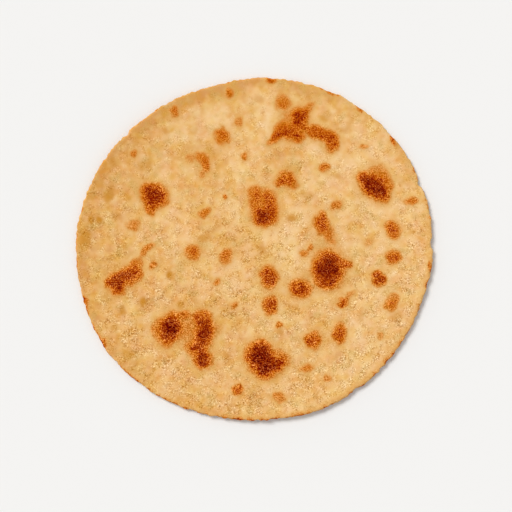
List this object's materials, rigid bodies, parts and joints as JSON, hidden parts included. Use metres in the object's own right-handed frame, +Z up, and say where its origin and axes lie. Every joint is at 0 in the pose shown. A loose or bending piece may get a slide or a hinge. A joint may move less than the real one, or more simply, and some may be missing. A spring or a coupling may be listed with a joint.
{
  "type": "rice flatbread",
  "caption": "Thin round hand-patted rice flatbread with griddle-toasted spots, a slightly lobed outline, a gently lifted edge and a flat underside.",
  "frame": {"origin": "under the middle of the bread, on the surface that it lies on", "axes": "+Z up out of the toasted top, through the bread's thickness; X and Y in the plane of the bread, with its slightly longer diameter about 18 degrees from +X towards +Y"},
  "size_m": [0.1991, 0.1918, 0.0049],
  "materials": {
    "roasted_rice_dough": "matte"
  },
  "bodies": {
    "root": {"flatbread": "roasted_rice_dough"}
  },
  "joints": []
}
